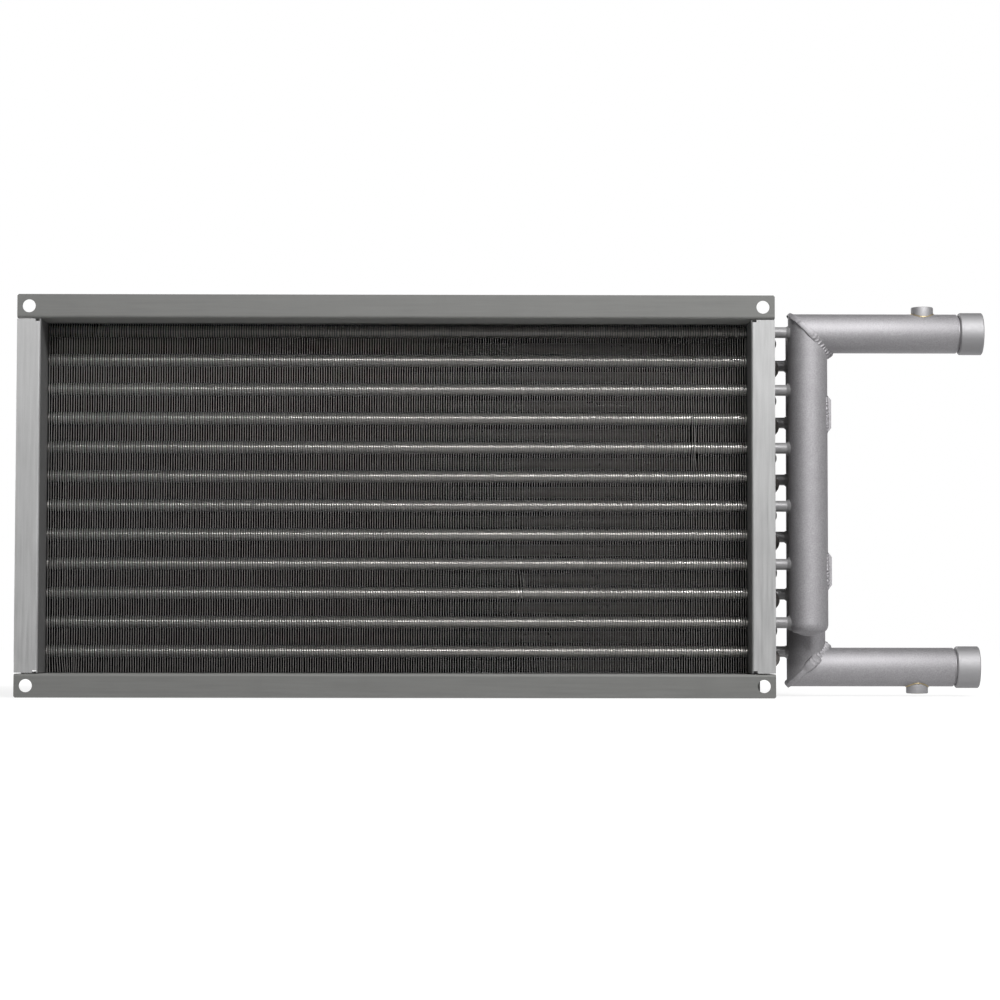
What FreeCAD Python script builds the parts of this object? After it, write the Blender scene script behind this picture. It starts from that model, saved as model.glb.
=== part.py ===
import FreeCAD, Part
import math
import os
from FreeCAD import Vector

# Duct water heating coil, in millimetres.
# +Z is up, +Y runs with the air through the duct, the headers are at +X.
# The origin is the middle of the duct opening, on the face of the front flange.

# Driving dimensions of the duct and the casing
DUCT_WIDTH = 600.0
DUCT_HEIGHT = 300.0
CASING_DEPTH = 150.0
FLANGE = 20.0
SHEET = 1.0
FOLD_RADIUS = 2.0
CORNER_CUT = 1.2
BOLT_HOLE = 11.0
FLANGE_END_GAP = 0.8
RELIEF_WIDTH = 3.5
RELIEF_HEIGHT = 2.0
TAB = 16.0
TAB_MARGIN = 14.0

# Driving dimensions of the finned core
TUBE = 9.5
TUBE_SIDES = 6
TUBES_PER_ROW = 12
ROWS = 3
ROW_PITCH = 22.0
FIN_PITCH = 2.1
FINS_PER_PLATE = 6
FIN_THICKNESS = 0.3
FIN_EDGE_TO_ROW = 11.0
FIN_CLEARANCE = 0.3
BEND_FACETS = 4
HAIRPIN_STRAIGHT = 0.8
TUBE_STICK_OUT = 7.0
RETURN_BEND_STRAIGHT = 4.0

# Driving dimensions of the headers and the pipe connections
PIPE = 33.7
PIPE_WALL = 2.6
HEADER_OUT = 53.2
REAR_HEADER_FURTHER_OUT = 2.2
TOP_PIPE_DROP = 7.2
BOTTOM_PIPE_RISE = 5.4
HEADER_PAST_LAST_STUB = 4.75
REAR_HEADER_ABOVE_DUCT = 1.5
END_ROUNDING = 7.0
SOCKET = 36.3
SOCKET_LENGTH = 20.0
SOCKET_BORE = 30.3
SOCKET_END_PAST_HEADER = 150.2
BOSS = 19.0
BOSS_HEIGHT = 6.0
BOSS_PAST_HEADER = 99.0
PLUG = 12.0
PLUG_RISE = 1.0
PLUG_DEPTH = 4.0
STRAP_HEIGHT = 32.0
STRAP_THICKNESS = 3.0
STRAP_CORNER = 4.0
STRAP_OVERHANG = 4.0
UPPER_STRAP_Z = 73.0
LOWER_STRAP_Z = -62.0

# Sizes that follow from them
HALF_WIDTH = DUCT_WIDTH / 2
HALF_HEIGHT = DUCT_HEIGHT / 2
FRAME_HALF_WIDTH = HALF_WIDTH + FLANGE
FRAME_HALF_HEIGHT = HALF_HEIGHT + FLANGE
BOLT_X = HALF_WIDTH + FLANGE / 2
BOLT_Z = HALF_HEIGHT + FLANGE / 2
SHEET_FACE = HALF_WIDTH + SHEET
TUBE_PITCH = DUCT_HEIGHT / TUBES_PER_ROW
TUBE_CORNER = TUBE / 2 / math.cos(math.pi / TUBE_SIDES)
FIRST_ROW_DEPTH = (CASING_DEPTH - (ROWS - 1) * ROW_PITCH) / 2
FIN_FRONT = FIRST_ROW_DEPTH - FIN_EDGE_TO_ROW
FIN_REAR = FIRST_ROW_DEPTH + (ROWS - 1) * ROW_PITCH + FIN_EDGE_TO_ROW
FIN_HALF_HEIGHT = HALF_HEIGHT - FIN_CLEARANCE
PLATE_PITCH = FIN_PITCH * FINS_PER_PLATE
FRONT_HEADER_X = HALF_WIDTH + HEADER_OUT
FRONT_HEADER_Y = FIRST_ROW_DEPTH
REAR_HEADER_X = FRONT_HEADER_X + REAR_HEADER_FURTHER_OUT
REAR_HEADER_Y = FIN_REAR - FIN_EDGE_TO_ROW
BOSS_X = FRONT_HEADER_X + BOSS_PAST_HEADER
LEG_END_X = SHEET_FACE + TUBE_STICK_OUT
PIPE_RADIUS = PIPE / 2
BORE_RADIUS = PIPE_RADIUS - PIPE_WALL


def row_depth(row):
    """Distance of a tube row behind the front flange; rows count from 0."""
    return FIRST_ROW_DEPTH + row * ROW_PITCH


def tube_height(row, index):
    """Height of a tube; each second row sits half a pitch lower."""
    first = HALF_HEIGHT - TUBE_PITCH / 4
    stagger = TUBE_PITCH / 2 if row % 2 else 0.0
    return first - stagger - index * TUBE_PITCH


def rounded_outline(corners):
    """Closed wire through (point, radius) corners, each radius as an arc."""
    edges = []
    starts = []
    ends = []
    count = len(corners)
    for i in range(count):
        point, radius = corners[i]
        before = (corners[i - 1][0] - point).normalize()
        after = (corners[(i + 1) % count][0] - point).normalize()
        reach = radius / math.tan(before.getAngle(after) / 2) if radius else 0.0
        starts.append(point + before * reach)
        ends.append(point + after * reach)
    for i in range(count):
        point, radius = corners[i]
        if radius:
            inward = ((starts[i] + ends[i]) / 2 - point).normalize()
            to_centre = math.hypot(radius, starts[i].distanceToPoint(point))
            middle = point + inward * (to_centre - radius)
            edges.append(Part.Arc(starts[i], middle, ends[i]).toShape())
        edges.append(Part.makeLine(ends[i], starts[(i + 1) % count]))
    return Part.Wire(edges)


def channel(length_of_web, lip, place, run):
    """Folded channel: place(along, up) puts the profile in space, run extrudes it."""
    inner = FOLD_RADIUS - SHEET
    profile = [
        (place(0.0, lip), 0.0),
        (place(0.0, 0.0), FOLD_RADIUS),
        (place(length_of_web, 0.0), FOLD_RADIUS),
        (place(length_of_web, lip), 0.0),
        (place(length_of_web - SHEET, lip), 0.0),
        (place(length_of_web - SHEET, SHEET), inner),
        (place(SHEET, SHEET), inner),
        (place(SHEET, lip), 0.0),
    ]
    return Part.Face(rounded_outline(profile)).extrude(run)


def casing_panel(side):
    """Top (side 1) or bottom (side -1) panel with its flanges and corner holes."""
    def place(along, up):
        return Vector(-FRAME_HALF_WIDTH, along, side * (HALF_HEIGHT + up))

    panel = channel(CASING_DEPTH, FLANGE, place, Vector(2 * FRAME_HALF_WIDTH, 0, 0))
    corners = []
    for edge in panel.Edges:
        middle = edge.BoundBox.Center
        at_end = abs(abs(middle.x) - FRAME_HALF_WIDTH) < 0.01
        at_lip = abs(abs(middle.z) - FRAME_HALF_HEIGHT) < 0.01
        if at_end and at_lip and edge.Length < 2 * SHEET:
            corners.append(edge)
    panel = panel.makeChamfer(CORNER_CUT, corners)
    for x in (-BOLT_X, BOLT_X):
        panel = panel.cut(bolt_hole(x, side * BOLT_Z))
    return panel


def bolt_hole(x, z):
    """Cutter for one corner hole, through both flanges."""
    return Part.makeCylinder(BOLT_HOLE / 2, CASING_DEPTH + 2, Vector(x, -1, z), Vector(0, 1, 0))


def tube_sheet(side):
    """Side plate: web, front and rear flanges, tabs under the panels, tube holes."""
    flange_half = HALF_HEIGHT - FLANGE_END_GAP

    def place_flanges(along, out):
        return Vector(side * (HALF_WIDTH + out), along, -flange_half)

    def place_tabs(along, out):
        return Vector(side * (HALF_WIDTH + out), TAB_MARGIN, along - HALF_HEIGHT)

    flanged = channel(CASING_DEPTH, FLANGE, place_flanges, Vector(0, 0, 2 * flange_half))
    tabbed = channel(DUCT_HEIGHT, TAB, place_tabs, Vector(0, CASING_DEPTH - 2 * TAB_MARGIN, 0))
    sheet = flanged.fuse(tabbed).removeSplitter()
    for end in (-1, 1):
        sheet = sheet.cut(fold_relief(side, end))
    for row in range(ROWS):
        for index in range(TUBES_PER_ROW):
            inside = Vector(side * (HALF_WIDTH - SHEET), row_depth(row), tube_height(row, index))
            sheet = sheet.cut(tube_bar(inside, Vector(side * 3 * SHEET, 0, 0)))
    return sheet


def fold_relief(side, end):
    """Small square notches at the ends of the side flanges, front and rear."""
    x = side * (SHEET_FACE + RELIEF_WIDTH / 2) - RELIEF_WIDTH / 2
    z = end * (HALF_HEIGHT - FLANGE_END_GAP - RELIEF_HEIGHT / 2) - RELIEF_HEIGHT / 2
    return Part.makeBox(RELIEF_WIDTH, CASING_DEPTH + 2, RELIEF_HEIGHT, Vector(x, -1, z))


def tube_outline(centre, across, up):
    """Corners of a tube's outline, flats up and down; few faces, because the tubes repeat."""
    corners = []
    for i in range(TUBE_SIDES):
        angle = i * 2 * math.pi / TUBE_SIDES
        corners.append(centre + (across * math.cos(angle) + up * math.sin(angle)) * TUBE_CORNER)
    return corners


def flat_face(corners):
    """Face with straight edges between the corners."""
    return Part.Face(Part.makePolygon(corners + corners[:1]))


def tube_bar(start, run):
    """Straight bar of the tube's outline."""
    return flat_face(tube_outline(start, Vector(0, 1, 0), Vector(0, 0, 1))).extrude(run)


def bent_tube(outlines):
    """Solid with flat faces from one tube outline to the next."""
    faces = [flat_face(outlines[0]), flat_face(outlines[-1])]
    for one, two in zip(outlines, outlines[1:]):
        for i in range(TUBE_SIDES):
            faces.append(flat_face([one[i - 1], one[i], two[i], two[i - 1]]))
    solid = Part.makeSolid(Part.makeShell(faces))
    if solid.Volume < 0:
        solid.reverse()
    return solid


def half_turn(start, end, straight, along):
    """Tube outlines from one end to another: a straight, a half circle and a straight."""
    middle = (start + end) / 2 + along * straight
    radial = (start - end).normalize()
    axis = radial.cross(along)
    radius = start.distanceToPoint(end) / 2
    outlines = [tube_outline(start, axis, radial)]
    for i in range(BEND_FACETS + 1):
        angle = math.pi * i / BEND_FACETS
        outward = radial * math.cos(angle) + along * math.sin(angle)
        outlines.append(tube_outline(middle + outward * radius, axis, outward))
    outlines.append(tube_outline(end, axis, radial * -1))
    return outlines


def hairpin(row, pair):
    """One copper tube: two legs across the duct and the bend on the left."""
    upper = leg_end(row, 2 * pair)
    lower = leg_end(row, 2 * pair + 1)
    length = LEG_END_X + SHEET_FACE + HAIRPIN_STRAIGHT
    return bent_tube(half_turn(upper, lower, length, Vector(-1, 0, 0)))


def return_bend(start, end):
    """U bend outside the right tube sheet, from one leg end to another."""
    return bent_tube(half_turn(start, end, RETURN_BEND_STRAIGHT, Vector(1, 0, 0)))


def leg_end(row, index):
    """Where a tube leg ends, outside the right tube sheet."""
    return Vector(LEG_END_X, row_depth(row), tube_height(row, index))


def fin_pack():
    """Fin plates across the tubes; one plate stands for a few fins."""
    half_count = int((HALF_WIDTH - FIN_PITCH) / PLATE_PITCH)
    plates = []
    for i in range(-half_count, half_count + 1):
        plates.append(fin_plate(i * PLATE_PITCH))
    return Part.makeCompound(plates)


def fin_plate(x):
    """One plate; the slot of each row runs out over the tube that is nearest to an edge."""
    below = []
    above = []
    for row in range(ROWS):
        front = row_depth(row) - TUBE_CORNER
        rear = row_depth(row) + TUBE_CORNER
        if row % 2:
            closed = tube_height(row, 0) + TUBE / 2
            below += [(front, -FIN_HALF_HEIGHT), (front, closed), (rear, closed), (rear, -FIN_HALF_HEIGHT)]
        else:
            closed = tube_height(row, TUBES_PER_ROW - 1) - TUBE / 2
            above += [(front, FIN_HALF_HEIGHT), (front, closed), (rear, closed), (rear, FIN_HALF_HEIGHT)]
    outline = [(FIN_FRONT, -FIN_HALF_HEIGHT)] + below + [(FIN_REAR, -FIN_HALF_HEIGHT)]
    outline += [(FIN_REAR, FIN_HALF_HEIGHT)] + above[::-1] + [(FIN_FRONT, FIN_HALF_HEIGHT)]
    corners = [Vector(x - FIN_THICKNESS / 2, y, z) for y, z in outline]
    return flat_face(corners).extrude(Vector(FIN_THICKNESS, 0, 0))


def header_stubs(row, first_index, header_x):
    """Short tubes from every second leg of a row into its header."""
    foot = Vector(header_x, row_depth(row), -DUCT_HEIGHT)
    header = Part.makeCylinder(PIPE_RADIUS, 2 * DUCT_HEIGHT, foot)
    stubs = []
    for index in range(first_index, TUBES_PER_ROW, 2):
        stub = tube_bar(leg_end(row, index), Vector(header_x - LEG_END_X, 0, 0))
        stubs.append(stub.cut(header))
    return Part.makeCompound(stubs)


def mitre_cutter(corner, away):
    """Big block that takes away what lies on the 'away' side of a 45 degree plane."""
    size = 4 * PIPE
    block = Part.makeBox(size, size, size, Vector(-size / 2, -size / 2, 0))
    turn = FreeCAD.Rotation(Vector(0, 0, 1), away)
    block.Placement = FreeCAD.Placement(corner, turn)
    return block


def vertical_header(corner, end_z, side):
    """Header with its free end formed shut, up or down to the mitre at the corner."""
    top = abs(corner.z - end_z) + PIPE
    profile = [
        Vector(0, 0, -END_ROUNDING),
        Vector(PIPE_RADIUS - END_ROUNDING, 0, -END_ROUNDING),
        Vector(PIPE_RADIUS, 0, 0),
        Vector(PIPE_RADIUS, 0, top),
        Vector(0, 0, top),
    ]
    pipe = flat_face(profile).revolve(Vector(0, 0, 0), Vector(0, 0, 1), 360)
    pipe = pipe.cut(Part.makeCylinder(BORE_RADIUS, top))
    if side < 0:
        pipe = pipe.mirror(Vector(0, 0, 0), Vector(0, 0, 1))
    pipe.translate(Vector(corner.x, corner.y, end_z))
    return pipe.cut(mitre_cutter(corner, Vector(1, 0, side)))


def connection_pipe(corner, side):
    """Horizontal pipe from the mitre to the socket."""
    near = Vector(corner.x - PIPE, corner.y, corner.z)
    axis = socket_start(corner) - near
    pipe = Part.makeCylinder(PIPE_RADIUS, axis.Length, near, axis)
    pipe = pipe.cut(Part.makeCylinder(BORE_RADIUS, axis.Length, near, axis))
    return pipe.cut(mitre_cutter(corner, Vector(-1, 0, -side)))


def socket_start(corner):
    """Point on the pipe axis where the socket begins."""
    return Vector(corner.x + SOCKET_END_PAST_HEADER - SOCKET_LENGTH, corner.y, corner.z)


def socket(corner):
    """Threaded socket on the end of a connection pipe, turned about the pipe axis."""
    outer = SOCKET / 2
    bore = SOCKET_BORE / 2
    profile = [
        Vector(0, 0, bore),
        Vector(0, 0, outer),
        Vector(SOCKET_LENGTH, 0, outer),
        Vector(SOCKET_LENGTH, 0, bore),
    ]
    turned = flat_face(profile).revolve(Vector(0, 0, 0), Vector(1, 0, 0), 360)
    turned.translate(socket_start(corner))
    return turned


def boss(corner, side):
    """Round boss on the crown of a connection pipe, with a blind hole for its plug."""
    up = Vector(0, 0, side)
    centre = Vector(BOSS_X, corner.y, corner.z)
    body = Part.makeCylinder(BOSS / 2, PIPE_RADIUS + BOSS_HEIGHT, centre, up)
    pipe = Part.makeCylinder(PIPE_RADIUS, 2 * BOSS, centre - Vector(BOSS, 0, 0), Vector(1, 0, 0))
    hole_foot = centre + up * (PIPE_RADIUS + BOSS_HEIGHT - PLUG_DEPTH)
    return body.cut(pipe).cut(Part.makeCylinder(PLUG / 2, PLUG_DEPTH, hole_foot, up))


def boss_plug(corner, side):
    """Plug screwed into the boss."""
    up = Vector(0, 0, side)
    foot = Vector(BOSS_X, corner.y, corner.z) + up * (PIPE_RADIUS + BOSS_HEIGHT - PLUG_DEPTH)
    return Part.makeCylinder(PLUG / 2, PLUG_DEPTH + PLUG_RISE, foot, up)


def tie_strap(z):
    """Flat strap laid on the outer side of both headers, corners cut off."""
    front = Vector(FRONT_HEADER_X, FRONT_HEADER_Y, z)
    rear = Vector(REAR_HEADER_X, REAR_HEADER_Y, z)
    along = (rear - front).normalize()
    outward = along.cross(Vector(0, 0, 1))
    start = front + outward * PIPE_RADIUS - along * STRAP_OVERHANG
    half = STRAP_HEIGHT / 2
    outline = [
        start - Vector(0, 0, half),
        start + outward * STRAP_THICKNESS - Vector(0, 0, half - STRAP_CORNER),
        start + outward * STRAP_THICKNESS + Vector(0, 0, half - STRAP_CORNER),
        start + Vector(0, 0, half),
    ]
    length = front.distanceToPoint(rear) + 2 * STRAP_OVERHANG
    return flat_face(outline).extrude(along * length)


def save(shape, name):
    shape.exportStep("parts/" + name + ".step")


os.makedirs("parts", exist_ok=True)

# Casing
save(casing_panel(1), "casing_top")
save(casing_panel(-1), "casing_bottom")
save(tube_sheet(-1), "tube_sheet_left")
save(tube_sheet(1), "tube_sheet_right")

# Finned core: the water crosses each row twice and goes on to the row behind
save(fin_pack(), "fin_pack")
CIRCUITS = TUBES_PER_ROW // 2
for circuit in range(CIRCUITS):
    for row in range(ROWS):
        save(hairpin(row, circuit), f"hairpin_row{row + 1}_{circuit + 1}")
    upper = 2 * circuit
    lower = upper + 1
    save(return_bend(leg_end(0, lower), leg_end(1, lower)), f"return_bend_front_{circuit + 1}")
    save(return_bend(leg_end(2, upper), leg_end(1, upper)), f"return_bend_rear_{circuit + 1}")

# Headers: the front one leads to the top connection, the rear one to the bottom
front_corner = Vector(FRONT_HEADER_X, FRONT_HEADER_Y, HALF_HEIGHT - TOP_PIPE_DROP)
rear_corner = Vector(REAR_HEADER_X, REAR_HEADER_Y, BOTTOM_PIPE_RISE - HALF_HEIGHT)
front_header_end = tube_height(0, TUBES_PER_ROW - 2) - HEADER_PAST_LAST_STUB
rear_header_end = HALF_HEIGHT + REAR_HEADER_ABOVE_DUCT
save(header_stubs(0, 0, FRONT_HEADER_X), "front_header_stubs")
save(header_stubs(ROWS - 1, 1, REAR_HEADER_X), "rear_header_stubs")
save(vertical_header(front_corner, front_header_end, 1), "front_header")
save(vertical_header(rear_corner, rear_header_end, -1), "rear_header")
save(connection_pipe(front_corner, 1), "top_connection_pipe")
save(connection_pipe(rear_corner, -1), "bottom_connection_pipe")
save(Part.makeCompound([socket(front_corner), socket(rear_corner)]), "pipe_sockets")
save(Part.makeCompound([boss(front_corner, 1), boss(rear_corner, -1)]), "vent_and_drain_bosses")
save(Part.makeCompound([boss_plug(front_corner, 1), boss_plug(rear_corner, -1)]), "boss_plugs")
save(tie_strap(UPPER_STRAP_Z), "tie_strap_upper")
save(tie_strap(LOWER_STRAP_Z), "tie_strap_lower")
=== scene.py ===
import math
import random

import bpy
from mathutils import Matrix, Vector


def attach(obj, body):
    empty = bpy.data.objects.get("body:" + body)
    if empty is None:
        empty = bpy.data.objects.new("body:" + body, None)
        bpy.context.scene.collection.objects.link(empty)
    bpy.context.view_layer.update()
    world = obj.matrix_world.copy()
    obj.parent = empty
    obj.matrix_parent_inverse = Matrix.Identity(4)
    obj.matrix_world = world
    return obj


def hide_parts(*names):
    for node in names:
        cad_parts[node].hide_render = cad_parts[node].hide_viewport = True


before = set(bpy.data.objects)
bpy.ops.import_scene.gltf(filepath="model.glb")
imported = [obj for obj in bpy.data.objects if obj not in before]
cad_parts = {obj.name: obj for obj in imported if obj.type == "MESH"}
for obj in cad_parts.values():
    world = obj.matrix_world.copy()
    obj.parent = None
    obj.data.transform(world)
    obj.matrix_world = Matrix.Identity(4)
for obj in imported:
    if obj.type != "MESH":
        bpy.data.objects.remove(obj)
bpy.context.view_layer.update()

MM = 0.001
X_AXIS = Vector((1, 0, 0))
Y_AXIS = Vector((0, 1, 0))
Z_AXIS = Vector((0, 0, 1))

# Sizes repeated from the part's source, in millimetres
HALF_WIDTH = 300.0
HALF_HEIGHT = 150.0
CASING_DEPTH = 150.0
SHEET = 1.0
TUBE_RADIUS = 4.75
TUBE_PITCH = 25.0
TUBES_PER_ROW = 12
ROWS = 3
ROW_PITCH = 22.0
FIRST_ROW_DEPTH = 53.0
FIN_PITCH = 2.1
FIN_FRONT = 42.0
FIN_REAR = 108.0
LEG_END_X = 308.0
PIPE_RADIUS = 16.85
BORE_RADIUS = 14.25
FRONT_HEADER = Vector((353.2, 53.0, 142.8))
REAR_HEADER = Vector((355.4, 97.0, -144.6))
FRONT_HEADER_END = -111.0
REAR_HEADER_END = 151.5
SOCKET_RADIUS = 18.15
SOCKET_LENGTH = 20.0
SOCKET_END_PAST_HEADER = 150.2
BOSS_X = 452.2
BOSS_RADIUS = 9.5
BOSS_TOP = 6.0
STRAPS = (73.0, -62.0)
STRAP_HALF_HEIGHT = 14.5

SHEET_FACE_X = HALF_WIDTH + SHEET
SHEET_FACE_Z = HALF_HEIGHT + SHEET

# Both connections: the corner where a header meets its pipe, and the way its boss points
CONNECTIONS = ((FRONT_HEADER, 1), (REAR_HEADER, -1))


# Node helpers

def noise(tree, scale, stretch=(1, 1, 1), detail=3.0, rough=0.5):
    """Noise over the object's own coordinates; scale is in cells per metre."""
    coords = tree.nodes.new("ShaderNodeTexCoord")
    mapping = tree.nodes.new("ShaderNodeMapping")
    mapping.inputs["Scale"].default_value = stretch
    texture = tree.nodes.new("ShaderNodeTexNoise")
    texture.inputs["Scale"].default_value = scale
    texture.inputs["Detail"].default_value = detail
    texture.inputs["Roughness"].default_value = rough
    tree.links.new(coords.outputs["Object"], mapping.inputs["Vector"])
    tree.links.new(mapping.outputs["Vector"], texture.inputs["Vector"])
    return texture.outputs["Fac"]


def coordinate(tree, axis, space="Object"):
    """One texture coordinate; in the object's own space it is in metres."""
    coords = tree.nodes.new("ShaderNodeTexCoord")
    split = tree.nodes.new("ShaderNodeSeparateXYZ")
    tree.links.new(coords.outputs[space], split.inputs[0])
    return split.outputs[axis]


def span(tree, value, low, high, out_low=0.0, out_high=1.0):
    """Maps a value range onto another, clamped."""
    node = tree.nodes.new("ShaderNodeMapRange")
    node.inputs["From Min"].default_value = low
    node.inputs["From Max"].default_value = high
    node.inputs["To Min"].default_value = out_low
    node.inputs["To Max"].default_value = out_high
    tree.links.new(value, node.inputs["Value"])
    return node.outputs["Result"]


def pattern(tree, scale, stretch=(1, 1, 1), detail=3.0, rough=0.5, low=0.3, high=0.7):
    """Noise whose range from low to high is drawn out to 0 to 1."""
    return span(tree, noise(tree, scale, stretch, detail, rough), low, high)


def combine(tree, operation, one, two, clamp=False):
    """Maths on two sockets."""
    node = tree.nodes.new("ShaderNodeMath")
    node.operation = operation
    node.use_clamp = clamp
    tree.links.new(one, node.inputs[0])
    tree.links.new(two, node.inputs[1])
    return node.outputs[0]


def mix(tree, factor, first, second):
    """Colour mix by a socket; first and second are colours or sockets."""
    node = tree.nodes.new("ShaderNodeMix")
    node.data_type = "RGBA"
    tree.links.new(factor, node.inputs[0])
    for socket, value in ((node.inputs[6], first), (node.inputs[7], second)):
        if isinstance(value, bpy.types.NodeSocket):
            tree.links.new(value, socket)
        else:
            socket.default_value = (*value, 1.0)
    return node.outputs[2]


def mix_shaders(tree, factor, first, second):
    """Shader mix by a socket."""
    node = tree.nodes.new("ShaderNodeMixShader")
    for socket, value in zip(node.inputs, (factor, first, second)):
        tree.links.new(value, socket)
    return node.outputs[0]


def bump(tree, shader, height, distance):
    """Adds a bump of a real height, in metres, after the bumps that are there."""
    node = tree.nodes.new("ShaderNodeBump")
    node.inputs["Distance"].default_value = distance
    node.inputs["Strength"].default_value = 1.0
    before = shader.inputs["Normal"].links
    if before:
        tree.links.new(before[0].from_socket, node.inputs["Normal"])
    tree.links.new(height, node.inputs["Height"])
    tree.links.new(node.outputs["Normal"], shader.inputs["Normal"])


# Materials

COATING_SPECULAR = 0.4
ALONG_X = (0.04, 1, 1)
ALONG_Z = (1, 1, 0.04)
# painted light behind the flanges: how far it fades in, in millimetres, and its share
PAINTED_LIGHT_EDGE = 2.0
PAINTED_LIGHT_SHARE = 0.6
STREAK_BUMP = 0.00002
FINE_BUMP = 0.00001
ORANGE_PEEL = 0.00006
SMOOTH_PEEL = 0.000005
# depth from the fins' faces, in millimetres, over which the painted shade deep in the core fades in on
# the fins; the same for the tubes
FIN_PAINTED_SHADE_DEPTH = 4.0
TUBE_PAINTED_SHADE_DEPTH = 26.0


def new_material(name, color, roughness, metallic, specular):
    """Principled material; uniform values sit on the shader's own sockets."""
    mat = bpy.data.materials.new(name)
    mat.use_nodes = True
    shader = mat.node_tree.nodes["Principled BSDF"]
    shader.inputs["Base Color"].default_value = (*color, 1.0)
    shader.inputs["Roughness"].default_value = roughness
    shader.inputs["Metallic"].default_value = metallic
    shader.inputs["Specular IOR Level"].default_value = specular
    return mat, mat.node_tree, shader


def tones(color, darker, lighter):
    """A darker and a lighter tone of a colour."""
    return tuple(c * darker for c in color), tuple(min(1.0, c * lighter) for c in color)


def link_surface(tree, shader, tint, texture, smooth, rough):
    """Links the colour, and a roughness that follows a texture from smooth to rough."""
    tree.links.new(tint, shader.inputs["Base Color"])
    tree.links.new(span(tree, texture, 0, 1, smooth, rough), shader.inputs["Roughness"])


def sheet_material(name, color, brushing, metallic, roughness, grain, painted_light_from, painted_light_tone):
    """Zinc coated sheet: rolling streaks along one axis, soft blotches, fine grain, and a painted tone
    of light deeper than its front flange.
    """
    mat, tree, shader = new_material(name, color, roughness, metallic, COATING_SPECULAR)
    streaks = pattern(tree, 420, brushing, 4.0, 0.6)
    blotches = pattern(tree, 38)
    fine = pattern(tree, 1500, detail=2.0)
    dark, light = tones(color, 1 - grain, 1 + grain)
    tint = mix(tree, streaks, dark, light)
    tint = mix(tree, span(tree, blotches, 0, 1, 0.0, 0.35), tint, light)
    tint = mix(tree, span(tree, fine, 0, 1, 0.0, 0.45), tint, dark)
    stains = span(tree, noise(tree, 16, (1, 1, 0.5), 4.0, 0.6), 0.56, 0.74, 0.0, 0.5)
    tint = mix(tree, stains, tint, dark)
    # painted light: between the front and rear flanges, deeper than the given depth, the sheet is
    # painted in another tone, a painted shade on the side plates' inner walls and outer faces and a
    # painted sheen on the panels' folds and the sheet behind them
    depth = coordinate(tree, "Y")
    painted_light_to = CASING_DEPTH - painted_light_from
    front = span(tree, depth, painted_light_from * MM, (painted_light_from + PAINTED_LIGHT_EDGE) * MM, 0.0, PAINTED_LIGHT_SHARE)
    rear = span(tree, depth, (painted_light_to - PAINTED_LIGHT_EDGE) * MM, painted_light_to * MM, PAINTED_LIGHT_SHARE, 0.0)
    painted_light_mask = combine(tree, "MINIMUM", front, rear)
    tint = mix(tree, painted_light_mask, tint, tuple(c * painted_light_tone for c in color))
    link_surface(tree, shader, tint, streaks, roughness - 0.06, roughness + 0.08)
    bump(tree, shader, streaks, STREAK_BUMP)
    bump(tree, shader, fine, FINE_BUMP)
    return mat


def paint_material(name, color, metallic, roughness, speckle, peel=ORANGE_PEEL):
    """Silver paint: fine metal flake, a little orange peel, faint dusty clouds."""
    mat, tree, shader = new_material(name, color, roughness, metallic, COATING_SPECULAR)
    flake = pattern(tree, 900, rough=0.7, low=0.34, high=0.66)
    cloud = pattern(tree, 90)
    dark, light = tones(color, 1 - speckle, 1 + speckle)
    tint = mix(tree, flake, dark, light)
    tint = mix(tree, span(tree, cloud, 0, 1, 0.0, 0.25), tint, dark)
    link_surface(tree, shader, tint, flake, roughness - 0.07, roughness + 0.07)
    bump(tree, shader, noise(tree, 700, detail=2.0), peel)
    return mat


def near_faces(tree, reach):
    """1 at the front and rear faces of the fins, 0 deeper than reach, in millimetres."""
    depth = coordinate(tree, "Y")
    front = span(tree, depth, FIN_FRONT * MM, (FIN_FRONT + reach) * MM, 1.0, 0.0)
    rear = span(tree, depth, (FIN_REAR - reach) * MM, FIN_REAR * MM)
    return combine(tree, "MAXIMUM", front, rear)


def fin_material():
    """Fin sides: painted shade, nearly black near the faces of the core and darker still deeper in."""
    mat, tree, shader = new_material("fin_aluminium", (0.16, 0.16, 0.16), 0.6, 0.0, 0.0)
    film = pattern(tree, 240, (1, 1, 0.3))
    # painted shade: the fin sides are painted nearly black where light is caught between them, and
    # darker deeper in the core
    less_shaded = mix(tree, film, (0.035, 0.035, 0.035), (0.07, 0.07, 0.07))
    painted_deep_shade = mix(tree, film, (0.010, 0.0095, 0.009), (0.020, 0.019, 0.018))
    tint = mix(tree, near_faces(tree, FIN_PAINTED_SHADE_DEPTH), painted_deep_shade, less_shaded)
    link_surface(tree, shader, tint, film, 0.44, 0.58)
    return mat


def tube_material(name, color, roughness, core=False):
    """Drawn tube: fine draw lines along it, light and dark patches; painted shade deep in the core."""
    mat, tree, shader = new_material(name, color, roughness, 0.9, 0.5)
    patches = pattern(tree, 120)
    lines = pattern(tree, 2200, (0.03, 1, 1), 2.0)
    dark, light = tones(color, 0.85, 1.12)
    tint = mix(tree, patches, dark, light)
    tint = mix(tree, span(tree, lines, 0, 1, 0.0, 0.3), tint, dark)
    if core:
        # painted shade: deeper in the core the tubes are painted dark grey
        less_shaded = span(tree, near_faces(tree, TUBE_PAINTED_SHADE_DEPTH), 0.15, 0.4)
        tint = mix(tree, less_shaded, (0.13, 0.12, 0.115), tint)
    link_surface(tree, shader, tint, patches, roughness - 0.05, roughness + 0.1)
    bump(tree, shader, lines, FINE_BUMP)
    return mat


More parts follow.
